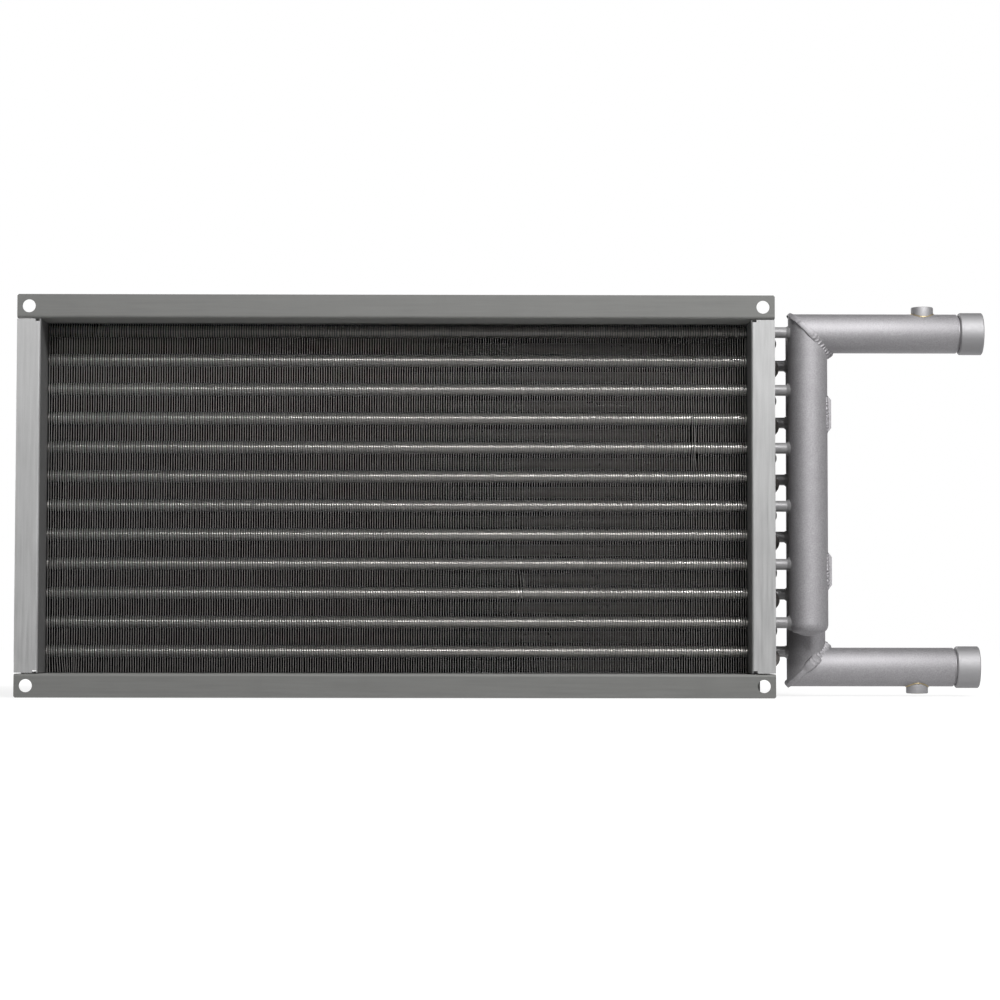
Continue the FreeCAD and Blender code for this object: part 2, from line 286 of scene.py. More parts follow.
# painted light: the panels carry a painted sheen behind their front flanges, the side plates a painted
# shade on their inner walls and outer faces
PANEL = sheet_material("sheet_panel", (0.157, 0.158, 0.152), ALONG_X, metallic=0.2, roughness=0.55,
                       grain=0.12, painted_light_from=0.1, painted_light_tone=2.6)
SIDE = sheet_material("sheet_side", (0.43, 0.43, 0.43), ALONG_Z, metallic=0.65, roughness=0.46,
                      grain=0.15, painted_light_from=1.0, painted_light_tone=0.3)
PAINT = paint_material("header_paint", (0.44, 0.43, 0.445), 0.9, 0.68, 0.2)
SOCKET_PAINT = paint_material("socket_paint", (0.43, 0.425, 0.435), 0.9, 0.68, 0.05)
STUB = paint_material("stub_paint", (0.36, 0.355, 0.36), 0.4, 0.4, 0.08)
FIN = fin_material()
FIN_EDGE = paint_material("fin_cut_edge", (0.45, 0.435, 0.425), 0.5, 0.4, 0.1, SMOOTH_PEEL)
COLLAR = paint_material("fin_collar", (0.87, 0.835, 0.80), 0.6, 0.36, 0.02, SMOOTH_PEEL)
CORE_TUBE = tube_material("core_tube", (0.90, 0.86, 0.82), 0.32, core=True)
COPPER = tube_material("tube_copper", (0.20, 0.185, 0.175), 0.45)
BRASS = tube_material("plug_brass", (0.55, 0.45, 0.27), 0.36)


# Mesh helpers

def piece(name, verts, faces, material, replaced=(), sharp=40.0, second=None, slots=None):
    """One visible piece of the object, from millimetres, riding on the frame."""
    mesh = bpy.data.meshes.new(name)
    mesh.from_pydata([tuple(c * MM for c in v) for v in verts], [], faces)
    mesh.validate()
    mesh.shade_smooth()
    mesh.set_sharp_from_angle(angle=math.radians(sharp))
    mesh.materials.append(material)
    if second:
        mesh.materials.append(second)
        mesh.polygons.foreach_set("material_index", slots)
    obj = bpy.data.objects.new(name, mesh)
    bpy.context.scene.collection.objects.link(obj)
    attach(obj, "root")
    if replaced:
        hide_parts(*replaced)


def circle(centre, across, up, radius, sides):
    """Points of a circle in the plane of across and up."""
    points = []
    for k in range(sides):
        a = 2 * math.pi * k / sides
        points.append(centre + (across * math.cos(a) + up * math.sin(a)) * radius)
    return points


class Builder:
    """Gathers rings of vertices and the faces between them."""

    def __init__(self):
        self.verts = []
        self.faces = []

    def ring(self, points):
        """Adds points and gives their numbers."""
        start = len(self.verts)
        self.verts.extend(points)
        return list(range(start, start + len(points)))

    def bridge(self, one, two):
        """Faces between two rings with as many points."""
        count = len(one)
        for i in range(count):
            j = (i + 1) % count
            self.faces.append((one[i], one[j], two[j], two[i]))

    def cap(self, ring, flip=False):
        """One face across a ring."""
        self.faces.append(tuple(reversed(ring)) if flip else tuple(ring))

    def skin(self, rings, closed=False, cap_start=True):
        """Faces from ring to ring; a closed run joins its ends, an open one is capped."""
        for one, two in zip(rings, rings[1:]):
            self.bridge(one, two)
        if closed:
            self.bridge(rings[-1], rings[0])
            return
        if cap_start:
            self.cap(rings[0], True)
        self.cap(rings[-1])

    def sweep(self, centres, frames, radius, sides):
        """Round bar along a path; frames are (across, up) pairs."""
        rings = []
        for centre, (across, up) in zip(centres, frames):
            rings.append(self.ring(circle(centre, across, up, radius, sides)))
        self.skin(rings)

    def lathe(self, centre, axis, across, profile, sides, closed=False):
        """Turned shape from (distance along the axis, radius) pairs."""
        up = axis.cross(across)
        rings = []
        for along, radius in profile:
            rings.append(self.ring(circle(centre + axis * along, across, up, radius, sides)))
        self.skin(rings, closed)


def row_depth(row):
    """Depth of a row of tubes; row 0 is the front one."""
    return FIRST_ROW_DEPTH + row * ROW_PITCH


def tube_height(row, index):
    """Height of a tube; every second row is half a pitch lower."""
    first = HALF_HEIGHT - TUBE_PITCH / 4
    stagger = TUBE_PITCH / 2 if row % 2 else 0.0
    return first - stagger - index * TUBE_PITCH


def leg_end(row, index):
    """Where a tube leg ends, outside the right side plate."""
    return Vector((LEG_END_X, row_depth(row), tube_height(row, index)))


# Casing and straps: the solids of the frame, with the scene's materials

def dress(node, material):
    """Gives a solid of the frame its material."""
    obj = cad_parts[node]
    if obj.material_slots:
        for material_slot in obj.material_slots:
            material_slot.material = material
    else:
        obj.data.materials.append(material)


for node in ("casing_top", "casing_bottom"):
    dress(node, PANEL)
for node in ("tube_sheet_left", "tube_sheet_right"):
    dress(node, SIDE)
for node in ("tie_strap_upper", "tie_strap_lower"):
    dress(node, PAINT)


# Core tubes

TUBE_SIDES = 24
HAIRPIN_STRAIGHT = 0.8
HAIRPIN_STEPS = 18
RETURN_STRAIGHT = 4.0
RETURN_STEPS = 16
# profiles are (distance along the axis, radius) pairs
BEND_BELL = ((-6.4, 5.5), (-6.4, 5.75), (1.6, 5.75), (2.6, TUBE_RADIUS + 0.05), (2.6, 4.0))
HOLE_COLLAR = ((-0.4, 6.9), (0.0, 6.9), (0.5, 6.2), (1.3, 5.3), (1.3, 4.6), (-0.4, 4.6))
HOLE_COLLAR_SIDES = 20


def u_path(start, end, straight, along, steps):
    """Centres and frames of a U: a straight, a half circle and a straight."""
    middle = (start + end) / 2 + along * straight
    radial = (start - end).normalized()
    axis = radial.cross(along)
    radius = (start - end).length / 2
    centres = [start]
    frames = [(axis, radial)]
    for i in range(steps + 1):
        a = math.pi * i / steps
        outward = radial * math.cos(a) + along * math.sin(a)
        centres.append(middle + outward * radius)
        frames.append((axis, outward))
    centres.append(end)
    frames.append((axis, -radial))
    return centres, frames


def hairpin(row, pair):
    """Two legs through the core in the core's material, and a bare bend on the left."""
    upper = leg_end(row, 2 * pair)
    lower = leg_end(row, 2 * pair + 1)
    length = LEG_END_X + SHEET_FACE_X + HAIRPIN_STRAIGHT
    centres, frames = u_path(upper, lower, length, -X_AXIS, HAIRPIN_STEPS)
    centres.insert(1, Vector((-SHEET_FACE_X, upper.y, upper.z)))
    frames.insert(1, frames[0])
    centres.insert(-1, Vector((-SHEET_FACE_X, lower.y, lower.z)))
    frames.insert(-1, frames[-1])
    b = Builder()
    b.sweep(centres, frames, TUBE_RADIUS, TUBE_SIDES)
    slots = []
    for face in b.faces:
        on_leg = all(b.verts[i].x > -SHEET_FACE_X - 0.01 for i in face)
        slots.append(0 if on_leg else 1)
    piece(f"hairpin_tube_{row + 1}_{pair + 1}", b.verts, b.faces, CORE_TUBE,
          (f"hairpin_row{row + 1}_{pair + 1}",), second=COPPER, slots=slots)


def return_bend(name, start, end, node):
    """U bend with belled ends that slip over the tube legs."""
    b = Builder()
    centres, frames = u_path(start, end, RETURN_STRAIGHT, X_AXIS, RETURN_STEPS)
    b.sweep(centres, frames, TUBE_RADIUS, TUBE_SIDES)
    for foot in (start, end):
        b.lathe(foot, X_AXIS, Y_AXIS, BEND_BELL, TUBE_SIDES)
    piece(name, b.verts, b.faces, COPPER, (node,))


def tube_hole_collars(side, label):
    """Collars of the tube holes, on the outer face of a side plate."""
    b = Builder()
    for row in range(ROWS):
        for index in range(TUBES_PER_ROW):
            foot = Vector((side * SHEET_FACE_X, row_depth(row), tube_height(row, index)))
            b.lathe(foot, X_AXIS * side, Y_AXIS, HOLE_COLLAR, HOLE_COLLAR_SIDES, closed=True)
    piece(f"tube_hole_collars_{label}", b.verts, b.faces, SIDE)


for row in range(ROWS):
    for pair in range(TUBES_PER_ROW // 2):
        hairpin(row, pair)
for circuit in range(TUBES_PER_ROW // 2):
    upper = 2 * circuit
    lower = upper + 1
    return_bend(f"front_bend_{circuit + 1}", leg_end(0, lower), leg_end(1, lower),
                f"return_bend_front_{circuit + 1}")
    return_bend(f"rear_bend_{circuit + 1}", leg_end(2, upper), leg_end(1, upper),
                f"return_bend_rear_{circuit + 1}")
tube_hole_collars(-1, "left")
tube_hole_collars(1, "right")


# Fins at their real pitch

FIN_SEED = 11
FIN_STEPS = 24
FIN_LEAN = 0.1
FIN_UNEVENNESS = 0.09
FIN_SIDE_GAP = 1.6
FIN_EDGE_GAP = 0.3
FIN_TOP = HALF_HEIGHT - 0.3
FIN_COUNT = int((HALF_WIDTH - FIN_SIDE_GAP) / FIN_PITCH)
FIN_LIP = 0.6
# stations of a fin: depth, sideways wave, share of the front edge's lean, half thickness
FIN_STATIONS = (
    (FIN_FRONT, 0.0, 1.0, 0.1),
    (FIN_FRONT + FIN_LIP, 0.0, 1.0, 0.1),
    (52.0, 0.0, 0.4, 0.06),
    (79.0, 1.15, 0.0, 0.06),
    (89.0, -1.15, 0.0, 0.06),
    (99.0, 1.1, 0.0, 0.06),
    (FIN_REAR, 0.0, 0.0, 0.08),
)
# bent places: x, z, reach along x, reach along z, push
DENTS = (
    (-254.0, 146.0, 5.0, 5.0, 2.2),
    (-259.0, 147.0, 3.0, 5.0, -1.8),
    (253.0, 54.0, 1.6, 16.0, 1.5),
    (256.0, 41.0, 1.5, 9.0, -1.2),
    (106.0, -76.0, 2.5, 3.0, 1.6),
    (-287.0, -146.0, 9.0, 5.0, 2.0),
    (-272.0, -145.0, 4.0, 5.0, -2.0),
    (120.0, -147.0, 6.0, 3.0, 1.5),
)
FIN_COLLAR = ((0.05, TUBE_RADIUS - 0.1), (0.05, 5.2), (0.95, TUBE_RADIUS - 0.02))
FIN_COLLAR_SIDES = 12
FIN_COLLAR_SHARP = 80.0
TUBES_PER_COLLAR_PIECE = 4


def fin_shift(x, z):
    """Sideways push of a fin's front edge where it is bent."""
    push = 0.0
    for dx, dz, wx, wz, amount in DENTS:
        push += amount * math.exp(-((x - dx) / wx) ** 2 - ((z - dz) / wz) ** 2)
    return push


def fins():
    """All fins; their front lips and rear edges have a material of their own."""
    rng = random.Random(FIN_SEED)
    b = Builder()
    for i in range(-FIN_COUNT, FIN_COUNT + 1):
        x0 = i * FIN_PITCH
        lean = rng.uniform(-FIN_LEAN, FIN_LEAN)
        phases = [rng.uniform(-FIN_UNEVENNESS, FIN_UNEVENNESS) for _ in range(FIN_STEPS + 1)]
        previous = None
        for j in range(FIN_STEPS + 1):
            z = -FIN_TOP + 2 * FIN_TOP * j / FIN_STEPS
            edge = lean + phases[j] + fin_shift(x0, z)
            edge = max(-HALF_WIDTH + FIN_EDGE_GAP - x0, min(HALF_WIDTH - FIN_EDGE_GAP - x0, edge))
            left, right = [], []
            for y, wave, hold, half in FIN_STATIONS:
                x = x0 + edge * hold + wave
                left.append(Vector((x - half, y, z)))
                right.append(Vector((x + half, y, z)))
            ring = b.ring(left + right[::-1])
            if previous:
                b.bridge(previous, ring)
            else:
                b.cap(ring, True)
            previous = ring
        b.cap(previous)
    lip_end = FIN_FRONT + FIN_LIP + 0.01
    slots = []
    for face in b.faces:
        depths = [b.verts[i].y for i in face]
        slots.append(1 if max(depths) < lip_end or min(depths) > FIN_REAR - 0.01 else 0)
    piece("aluminium_fins", b.verts, b.faces, FIN, ("fin_pack",), 10.0,
          second=FIN_EDGE, slots=slots)


def fin_collars(part):
    """Where the fins are drawn out round four tubes of the front row."""
    b = Builder()
    first = TUBES_PER_COLLAR_PIECE * part
    for index in range(first, first + TUBES_PER_COLLAR_PIECE):
        for i in range(-FIN_COUNT, FIN_COUNT + 1):
            foot = Vector((i * FIN_PITCH, row_depth(0), tube_height(0, index)))
            b.lathe(foot, X_AXIS, Y_AXIS, FIN_COLLAR, FIN_COLLAR_SIDES, closed=True)
    piece(f"fin_collar_roots_{part + 1}", b.verts, b.faces, COLLAR,
          sharp=FIN_COLLAR_SHARP)


fins()
for part in range(TUBES_PER_ROW // TUBES_PER_COLLAR_PIECE):
    fin_collars(part)


# Header pipes and connections

PIPE_SIDES = 96
# formed end of a header: where the straight wall stops, and the shoulder's start, rise and draw-in
END_STRAIGHT = 4.0
SHOULDER_START = 3.5
SHOULDER_RISE = 7.5
SHOULDER_DRAW_IN = 6.5
SHOULDER_STEPS = 8
# slightly domed middle of the formed end: radius, distance past the end
DOME = ((7.0, 5.6), (3.0, 6.6))
# rounded edge of the connection pipe, and the neck between it and the socket
EDGE_LENGTH = 0.8
EDGE_DEPTH = 0.5
NECK_WIDTH = 1.9
NECK_DEPTH = 2.2
NECK_SLOPE = 0.2


def header(name, corner, end_z, side, node):
    """Vertical pipe from the mitre to its formed end; side 1 has the mitre at the top."""
    b = Builder()
    rings = []

    def level(radius, z=None):
        """Ring at a height, or in the plane of the mitre."""
        points = []
        for k in range(PIPE_SIDES):
            a = 2 * math.pi * k / PIPE_SIDES
            x, y = radius * math.cos(a), radius * math.sin(a)
            height = corner.z - side * x if z is None else z
            points.append(Vector((corner.x + x, corner.y + y, height)))
        rings.append(b.ring(points))

    level(BORE_RADIUS, end_z)
    level(BORE_RADIUS)
    level(PIPE_RADIUS)
    level(PIPE_RADIUS, end_z + side * END_STRAIGHT)
    for i in range(SHOULDER_STEPS + 1):
        a = math.pi / 2 * i / SHOULDER_STEPS
        radius = PIPE_RADIUS - SHOULDER_DRAW_IN * (1 - math.cos(a))
        level(radius, end_z + side * (SHOULDER_START - SHOULDER_RISE * math.sin(a)))
    for radius, past in DOME:
        level(radius, end_z - side * past)
    b.skin(rings)
    piece(name, b.verts, b.faces, PAINT, (node,), 50.0)


def connection(name, corner, side, node):
    """Horizontal pipe from the mitre to the neck in front of the socket."""
    b = Builder()
    rings = []
    end = SOCKET_END_PAST_HEADER - SOCKET_LENGTH

    def level(radius, along=None):
        """Ring at a distance from the corner, or in the plane of the mitre."""
        points = []
        for k in range(PIPE_SIDES):
            a = 2 * math.pi * k / PIPE_SIDES
            y, z = radius * math.cos(a), radius * math.sin(a)
            x = -side * z if along is None else along
            points.append(Vector((corner.x + x, corner.y + y, corner.z + z)))
        rings.append(b.ring(points))

    level(PIPE_RADIUS)
    level(PIPE_RADIUS, end - NECK_WIDTH - EDGE_LENGTH)
    level(PIPE_RADIUS - EDGE_DEPTH, end - NECK_WIDTH)
    level(PIPE_RADIUS - NECK_DEPTH, end - NECK_WIDTH + NECK_SLOPE)
    level(PIPE_RADIUS - NECK_DEPTH, end)
    level(BORE_RADIUS, end)
    level(BORE_RADIUS)
    b.skin(rings, closed=True)
    piece(name, b.verts, b.faces, PAINT, (node,))


header("front_header_pipe", FRONT_HEADER, FRONT_HEADER_END, 1, "front_header")
header("rear_header_pipe", REAR_HEADER, REAR_HEADER_END, -1, "rear_header")
connection("top_pipe", FRONT_HEADER, 1, "top_connection_pipe")
connection("bottom_pipe", REAR_HEADER, -1, "bottom_connection_pipe")


# Sockets, bosses and plugs

THREAD_CREST = 15.2
THREAD_ROOT = 16.4
THREAD_PITCH = 2.3
THREAD_STOP = 4.5
# one turn of the thread: distance back from its start, radius
THREAD_TURN = ((0.7, THREAD_ROOT), (1.15, THREAD_ROOT), (1.85, THREAD_CREST), (2.3, THREAD_CREST))
MOUTH_DEPTH = 1.2
MOUTH_RADIUS = 17.1
MOUTH_INNER_RADIUS = 15.9
SOCKET_EDGE = 0.7
SOCKET_FOOT_EDGE = 0.9
SOCKET_FOOT_RADIUS = 17.3
BOSS_SIDES = 64
BOSS_SINK = 0.3
# from a boss's outer edge into its hole: radius, depth below the top
BOSS_PROFILE = ((BOSS_RADIUS, 0.9), (BOSS_RADIUS - 0.25, 0.3), (BOSS_RADIUS - 0.8, 0.0),
                (6.6, 0.0), (6.1, 0.5), (6.1, 4.0))
PLUG_SIDES = 48
PLUG_PROFILE = ((-4.0, 6.0), (-0.4, 6.0), (0.2, 5.5), (0.2, 3.6))
KEY_HALF_WIDTH = 2.6
KEY_LEVELS = (0.2, -2.6)


def sockets():
    """Both sockets: chamfered sleeves with a cut thread inside."""
    b = Builder()
    for corner, _ in CONNECTIONS:
        start = Vector((corner.x + SOCKET_END_PAST_HEADER - SOCKET_LENGTH, corner.y, corner.z))
        profile = [
            (0.0, THREAD_CREST),
            (0.0, SOCKET_FOOT_RADIUS),
            (SOCKET_FOOT_EDGE, SOCKET_RADIUS),
            (SOCKET_LENGTH - SOCKET_EDGE, SOCKET_RADIUS),
            (SOCKET_LENGTH, SOCKET_RADIUS - SOCKET_EDGE),
            (SOCKET_LENGTH, MOUTH_RADIUS),
            (SOCKET_LENGTH - MOUTH_DEPTH, MOUTH_INNER_RADIUS),
        ]
        along = SOCKET_LENGTH - MOUTH_DEPTH
        while along > THREAD_STOP:
            profile += [(along - back, radius) for back, radius in THREAD_TURN]
            along -= THREAD_PITCH
        b.lathe(start, X_AXIS, Y_AXIS, profile, PIPE_SIDES, closed=True)
    piece("threaded_sockets", b.verts, b.faces, SOCKET_PAINT, ("pipe_sockets",), 30.0)


def saddle(radius, angle):
    """Height of a pipe's surface above its axis, at an angle round a boss on it."""
    y = radius * math.sin(angle)
    return math.sqrt(PIPE_RADIUS ** 2 - y ** 2)


def bosses():
    """Vent boss on the top pipe and drain boss under the bottom one."""
    b = Builder()
    top = PIPE_RADIUS + BOSS_TOP
    for corner, side in CONNECTIONS:
        rings = []

        def level(radius, height=None):
            """Ring at a height above the pipe's axis, or along the pipe's surface."""
            points = []
            for k in range(BOSS_SIDES):
                a = 2 * math.pi * k / BOSS_SIDES * side
                up = saddle(radius, a) - BOSS_SINK if height is None else height
                x = BOSS_X + radius * math.cos(a)
                y = corner.y + radius * math.sin(a)
                points.append(Vector((x, y, corner.z + side * up)))
            rings.append(b.ring(points))

        level(BOSS_RADIUS)
        for radius, below in BOSS_PROFILE:
            level(radius, top - below)
        b.skin(rings, cap_start=False)
    piece("vent_and_drain_boss", b.verts, b.faces, SOCKET_PAINT,
          ("vent_and_drain_bosses",), 35.0)


def plugs():
    """Screwed plugs with a hexagonal recess for a key."""
    b = Builder()
    for corner, side in CONNECTIONS:
        axis = Z_AXIS * side
        across = axis.cross(X_AXIS)
        foot = Vector((BOSS_X, corner.y, corner.z + side * (PIPE_RADIUS + BOSS_TOP)))
        rings = []
        for along, radius in PLUG_PROFILE:
            rings.append(b.ring(circle(foot + axis * along, X_AXIS, across, radius, PLUG_SIDES)))
        for along in KEY_LEVELS:
            points = []
            for k in range(PLUG_SIDES):
                a = 2 * math.pi * k / PLUG_SIDES
                from_middle = (a + math.pi / 6) % (math.pi / 3) - math.pi / 6
                flat = KEY_HALF_WIDTH / math.cos(from_middle)
                points.append(foot + axis * along + (X_AXIS * math.cos(a) + across * math.sin(a)) * flat)
            rings.append(b.ring(points))
        b.skin(rings)
    piece("vent_and_drain_plug", b.verts, b.faces, BRASS, ("boss_plugs",), 30.0)


sockets()
bosses()
plugs()


# Stubs between the tube legs and the headers

STUB_SIDES = 28
STUB_BELL = ((-5.5, 5.5), (-5.5, 5.75), (2.0, 5.75), (3.0, TUBE_RADIUS))
# fillet at the header: distance past its nearest face, growth of the stub's radius
STUB_ROOT = ((-2.2, 0.0), (-1.2, 0.3), (-0.3, 1.2), (1.4, 2.0))


def stubs(name, row, first, header_x, node):
    """Short tubes from every second leg of a row into its header."""
    b = Builder()
    for index in range(first, TUBES_PER_ROW, 2):
        start = leg_end(row, index)
        reach = header_x - PIPE_RADIUS - start.x
        profile = list(STUB_BELL)
        profile += [(reach + past, TUBE_RADIUS + growth) for past, growth in STUB_ROOT]
        b.lathe(start, X_AXIS, Y_AXIS, profile, STUB_SIDES)
    piece(name, b.verts, b.faces, STUB, (node,))


stubs("front_stubs", 0, 0, FRONT_HEADER.x, "front_header_stubs")
stubs("rear_stubs", ROWS - 1, 1, REAR_HEADER.x, "rear_header_stubs")


# Weld beads

WELD_SHARP = 60.0
MITRE_STEPS = 320
MITRE_SIDES = 20
MITRE_WIDTH = 2.5
MITRE_HEIGHT = 0.65
MITRE_BELOW = 0.9
RIPPLE_TURN = 0.8
RIPPLE_LAG = 2.6
RIPPLE_HEIGHT = 0.62
RIPPLE_ROUGHNESS = 0.32
BLOB_STEPS = 12
BLOB_SIDES = 24
BEAD_SIDES = 14
BEAD_FLATNESS = 0.7
STRAP_WELD_STEPS = 44
BOSS_WELD_STEPS = 80
BOSS_WELD_SIDES = 10
BOSS_WELD_RADIUS = 0.75


def wobble(t, seed):
    """Smooth repeatable unevenness between -1 and 1 for a bead."""
    r = random.Random(seed)
    total = 0.0
    for k in (3, 5, 8, 13):
        total += math.sin(k * t + r.uniform(0, 6.28)) / 4
    return total


def squared(value, power=0.6):
    """Steeper sides for a bead: keeps the sign, lifts the size."""
    return math.copysign(abs(value) ** power, value)


def mitre_weld(name, corner, side, seed, lumps, blob):
    """Flat rippled bead round the mitre; lumps are (place, spread, rise, widening)."""
    b = Builder()
    rings = []
    chance = random.Random(seed)
    rough = [[chance.uniform(-1, 1) for _ in range(MITRE_SIDES)] for _ in range(MITRE_STEPS)]
    for i in range(MITRE_STEPS):
        t = 2 * math.pi * i / MITRE_STEPS
        place = Vector((-side * math.sin(t), math.cos(t), math.sin(t))) * PIPE_RADIUS
        normal = Vector((-side * math.sin(t), 2 * math.cos(t), math.sin(t))).normalized()
        tangent = Vector((-side * math.cos(t), -math.sin(t), math.cos(t))).normalized()
        across = tangent.cross(normal)
        # 1 at the inner corner of the mitre or at the outer one, 0 on the other half
        inner = max(0.0, -math.sin(t) * side)
        outer = max(0.0, math.sin(t) * side)
        # the half of the run towards the inner corner is coarse and rippled
        coarse = min(1.0, max(0.0, inner * 1.6 - 0.1))
        width = MITRE_WIDTH + 0.35 * wobble(t, seed) + 0.8 * coarse + 1.8 * inner ** 8 - 0.8 * outer ** 3
        height = MITRE_HEIGHT + 0.15 * wobble(t * 2, seed + 4) + 3.6 * inner ** 14 - 0.6 * outer ** 4
        for at, spread, rise, widening in lumps:
            away = abs((t - at + math.pi) % (2 * math.pi) - math.pi) / spread
            height += rise * math.exp(-away ** 4)
            width += widening * math.exp(-away ** 4)
        centre = corner + place
        points = []
        for k in range(MITRE_SIDES):
            a = 2 * math.pi * k / MITRE_SIDES
            # chevron ripples: the middle of the bead lags behind its edges
            crest = max(0.0, math.sin(a))
            wave = math.sin(i * RIPPLE_TURN + RIPPLE_LAG * abs(math.cos(a)))
            ripple = RIPPLE_HEIGHT * wave + RIPPLE_ROUGHNESS * rough[i][k]
            if math.sin(a) > 0:
                up = squared(crest) * height + ripple * coarse * crest
            else:
                up = math.sin(a) * MITRE_BELOW
            points.append(centre + across * squared(math.cos(a), 0.8) * width + normal * up)
        rings.append(b.ring(points))
    b.skin(rings, closed=True)
    # the round end of the bead beside the outer corner
    spot, radius = blob
    profile = []
    for n in range(BLOB_STEPS + 1):
        a = math.pi * n / BLOB_STEPS
        profile.append((-math.cos(a) * radius, max(0.05, math.sin(a) * radius)))
    b.lathe(corner + Vector(spot), Y_AXIS, Z_AXIS, profile, BLOB_SIDES)
    piece(name, b.verts, b.faces, PAINT, sharp=WELD_SHARP)


def bead(b, points, normals, radii):
    """Open weld bead along points."""
    rings = []
    for i, (point, normal, radius) in enumerate(zip(points, normals, radii)):
        before = points[max(0, i - 1)]
        after = points[min(len(points) - 1, i + 1)]
        tangent = (after - before).normalized()
        across = tangent.cross(normal).normalized()
        section = []
        for k in range(BEAD_SIDES):
            a = 2 * math.pi * k / BEAD_SIDES
            out = across * math.cos(a) + normal * math.sin(a) * BEAD_FLATNESS
            section.append(point + out * radius)
        rings.append(b.ring(section))
    b.skin(rings)


def strap_welds():
    """Beads along the front and rear ends of both straps, thinner at their ends."""
    b = Builder()
    for z0 in STRAPS:
        for corner, face in ((FRONT_HEADER, -1), (REAR_HEADER, 1)):
            points, normals, radii = [], [], []
            for i in range(STRAP_WELD_STEPS + 1):
                t = i / STRAP_WELD_STEPS
                z = z0 + STRAP_HALF_HEIGHT - 2 * STRAP_HALF_HEIGHT * t
                angle = math.radians(24 - 7 * t + 2 * wobble(t * 6, int(z0)))
                normal = Vector((math.cos(angle), face * math.sin(angle), 0))
                points.append(Vector((corner.x, corner.y, z)) + normal * (PIPE_RADIUS + 0.1))
                normals.append(normal)
                end = math.sin(math.pi * min(1.0, max(0.0, 0.04 + t * 0.92)))
                radius = 1.7 + 0.7 * t + 0.4 * wobble(t * 9, 5) + 0.3 * math.sin(i * 1.3)
                radii.append(radius * max(0.15, end ** 0.4))
            bead(b, points, normals, radii)
    piece("strap_welds", b.verts, b.faces, PAINT, sharp=WELD_SHARP)


def boss_welds():
    """Thin fillets where the bosses meet the pipes."""
    b = Builder()
    for corner, side in CONNECTIONS:
        rings = []
        for i in range(BOSS_WELD_STEPS):
            t = 2 * math.pi * i / BOSS_WELD_STEPS
            out = Vector((math.cos(t), math.sin(t), 0))
            height = saddle(BOSS_RADIUS, t)
            centre = Vector((BOSS_X, corner.y, corner.z + side * height)) + out * BOSS_RADIUS
            radius = BOSS_WELD_RADIUS + 0.2 * wobble(t, 17 + side)
            rings.append(b.ring(circle(centre, out, Z_AXIS * side, radius, BOSS_WELD_SIDES)))
        b.skin(rings, closed=True)
    piece("boss_welds", b.verts, b.faces, BRASS, sharp=WELD_SHARP)


mitre_weld("top_mitre_weld", FRONT_HEADER, 1, 3,
           ((3.3, 0.27, 0.55, 0.5), (2.75, 0.14, 0.45, 0.3)),
           ((-PIPE_RADIUS + 1.9, 0.0, PIPE_RADIUS - 2.0), 2.1))
mitre_weld("bottom_mitre_weld", REAR_HEADER, -1, 8,
           ((2.87, 0.36, 1.4, 2.2), (3.6, 0.2, 0.45, 0.4)),
           ((-PIPE_RADIUS + 0.9, 0.0, -PIPE_RADIUS + 3.1), 2.9))
strap_welds()
boss_welds()


# Rivets through the tabs of the side plates, heads on the outer faces of the panels

RIVET_DEPTHS = (40.0, 75.0, 110.0)
RIVET_OFFSET = 9.0
RIVET_SIDES = 20
RIVET_HEAD = ((0.0, 3.3), (0.35, 3.3), (0.9, 2.6), (1.25, 1.6), (1.35, 1.0), (0.8, 0.8))


def rivets():
    """Three rivets at each corner of the casing."""
    b = Builder()
    for side_x in (-1, 1):
        for side_z in (-1, 1):
            for y in RIVET_DEPTHS:
                foot = Vector((side_x * (HALF_WIDTH + RIVET_OFFSET), y, side_z * SHEET_FACE_Z))
                b.lathe(foot, Z_AXIS * side_z, X_AXIS, RIVET_HEAD, RIVET_SIDES)
    piece("tab_rivets", b.verts, b.faces, SIDE, sharp=30.0)


rivets()


# Studio: floor, world and lamps

FLOOR_HALF_SIZE = 7.0
FLOOR_Z = -0.1701
WHITE = (1, 1, 1, 1)
FLOOR_GREY = (0.6, 0.6, 0.6, 1)
SHADOW_GREY = (0.22, 0.22, 0.22, 1)
AMBIENT = 0.05


def seen(tree, path):
    """1 for camera, glossy and transmission rays."""
    either = combine(tree, "ADD", path.outputs["Is Camera Ray"], path.outputs["Is Glossy Ray"])
    return combine(tree, "ADD", either, path.outputs["Is Transmission Ray"], clamp=True)


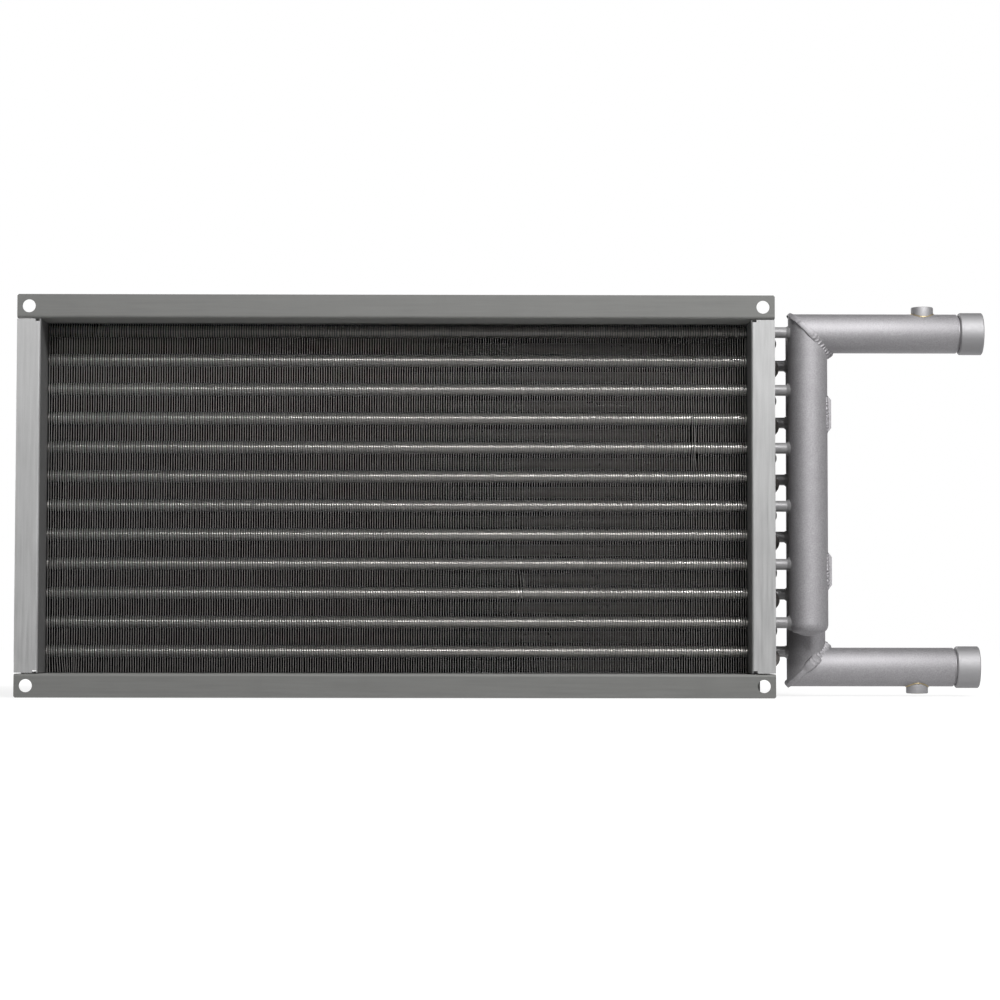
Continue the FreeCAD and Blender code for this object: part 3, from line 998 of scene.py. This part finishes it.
def floor():
    """White floor that keeps the object's shadow."""
    mesh = bpy.data.meshes.new("floor")
    size, z = FLOOR_HALF_SIZE, FLOOR_Z
    corners = [(-size, -size, z), (size, -size, z), (size, size, z), (-size, size, z)]
    mesh.from_pydata(corners, [], [(0, 1, 2, 3)])
    obj = bpy.data.objects.new("floor", mesh)
    bpy.context.scene.collection.objects.link(obj)
    mat = bpy.data.materials.new("floor")
    mat.use_nodes = True
    tree = mat.node_tree
    tree.nodes.clear()
    output = tree.nodes.new("ShaderNodeOutputMaterial")
    diffuse = tree.nodes.new("ShaderNodeBsdfDiffuse")
    diffuse.inputs["Color"].default_value = FLOOR_GREY
    soft = tree.nodes.new("ShaderNodeBsdfDiffuse")
    soft.inputs["Color"].default_value = SHADOW_GREY
    white = tree.nodes.new("ShaderNodeEmission")
    path = tree.nodes.new("ShaderNodeLightPath")
    depth = coordinate(tree, "Y")
    # the camera sees the floor lit everywhere, metal sees it dark in front of the object
    lit = span(tree, depth, -0.3, 0.4)
    glow = combine(tree, "MAXIMUM", lit, path.outputs["Is Camera Ray"])
    # white far behind, where no lamp reaches; a little less near the object, for its shadow
    far = span(tree, depth, 0.25, 1.2, 0.82, 1.0)
    tree.links.new(combine(tree, "MULTIPLY", glow, far), white.inputs["Strength"])
    add = tree.nodes.new("ShaderNodeAddShader")
    tree.links.new(white.outputs[0], add.inputs[0])
    tree.links.new(soft.outputs[0], add.inputs[1])
    surface = mix_shaders(tree, seen(tree, path), diffuse.outputs[0], add.outputs[0])
    tree.links.new(surface, output.inputs["Surface"])
    mesh.materials.append(mat)


def background(tree, strength):
    """White background light."""
    node = tree.nodes.new("ShaderNodeBackground")
    node.inputs["Color"].default_value = WHITE
    node.inputs["Strength"].default_value = strength
    return node.outputs[0]


def studio_world():
    """The camera sees white all round, metal sees a white wall behind the object."""
    world = bpy.data.worlds.new("studio")
    bpy.context.scene.world = world
    world.use_nodes = True
    tree = world.node_tree
    tree.nodes.clear()
    output = tree.nodes.new("ShaderNodeOutputWorld")
    path = tree.nodes.new("ShaderNodeLightPath")
    wall = span(tree, coordinate(tree, "Y", "Generated"), 0.85, 0.98)
    shiny = combine(tree, "MAXIMUM", path.outputs["Is Glossy Ray"], path.outputs["Is Transmission Ray"])
    on_wall = combine(tree, "MULTIPLY", shiny, wall)
    any_white = combine(tree, "MAXIMUM", path.outputs["Is Camera Ray"], on_wall)
    surface = mix_shaders(tree, any_white, background(tree, AMBIENT), background(tree, 1.0))
    tree.links.new(surface, output.inputs["Surface"])


def lamp(name, place, target, width, height, power):
    """Soft box aimed at a point."""
    data = bpy.data.lights.new(name, "AREA")
    data.shape = "RECTANGLE"
    data.size = width
    data.size_y = height
    data.energy = power
    obj = bpy.data.objects.new(name, data)
    obj.location = place
    obj.rotation_euler = (Vector(target) - Vector(place)).to_track_quat("-Z", "Y").to_euler()
    bpy.context.scene.collection.objects.link(obj)


floor()
studio_world()
lamp("key", (1.0, -2.1, 1.75), (0.2, 0.05, 0.0), 1.2, 0.8, 86.0)
lamp("front", (-0.4, -2.45, 0.9), (-0.2, 0.05, 0.0), 1.3, 0.3, 15.0)
lamp("top", (0.1, -0.3, 2.3), (0.1, 0.0, 0.0), 2.2, 0.9, 6.0)
lamp("side", (2.6, -0.5, 0.5), (0.3, 0.0, 0.0), 0.9, 1.4, 2.0)
lamp("rear", (-0.7, 2.6, 1.2), (0.0, 0.1, 0.0), 1.8, 1.0, 24.0)


# Camera at the photograph's place

CAMERA = Vector((0.0771, -2.5184, -0.1164))
YAW, PITCH, ROLL = math.radians(0.39), math.radians(3.237), math.radians(0.075)
SENSOR_WIDTH = 36.0
LENS = 107.75
SHIFT_X, SHIFT_Y = -0.0077, -0.0351
CLIP_END = 50.0

flat_share = math.cos(PITCH)
forward = Vector((math.sin(YAW) * flat_share, math.cos(YAW) * flat_share, math.sin(PITCH)))
level = Vector((math.cos(YAW), -math.sin(YAW), 0))
upright = level.cross(forward)
right = level * math.cos(ROLL) + upright * math.sin(ROLL)
up = upright * math.cos(ROLL) - level * math.sin(ROLL)
camera_data = bpy.data.cameras.new("camera")
camera_data.sensor_width = SENSOR_WIDTH
camera_data.lens = LENS
camera_data.shift_x = SHIFT_X
camera_data.shift_y = SHIFT_Y
camera_data.clip_end = CLIP_END
camera = bpy.data.objects.new("camera", camera_data)
bpy.context.scene.collection.objects.link(camera)
turn = Matrix((right, up, -forward)).transposed().to_4x4()
camera.matrix_world = Matrix.Translation(CAMERA) @ turn
bpy.context.scene.camera = camera
bpy.context.scene.view_settings.view_transform = "Standard"
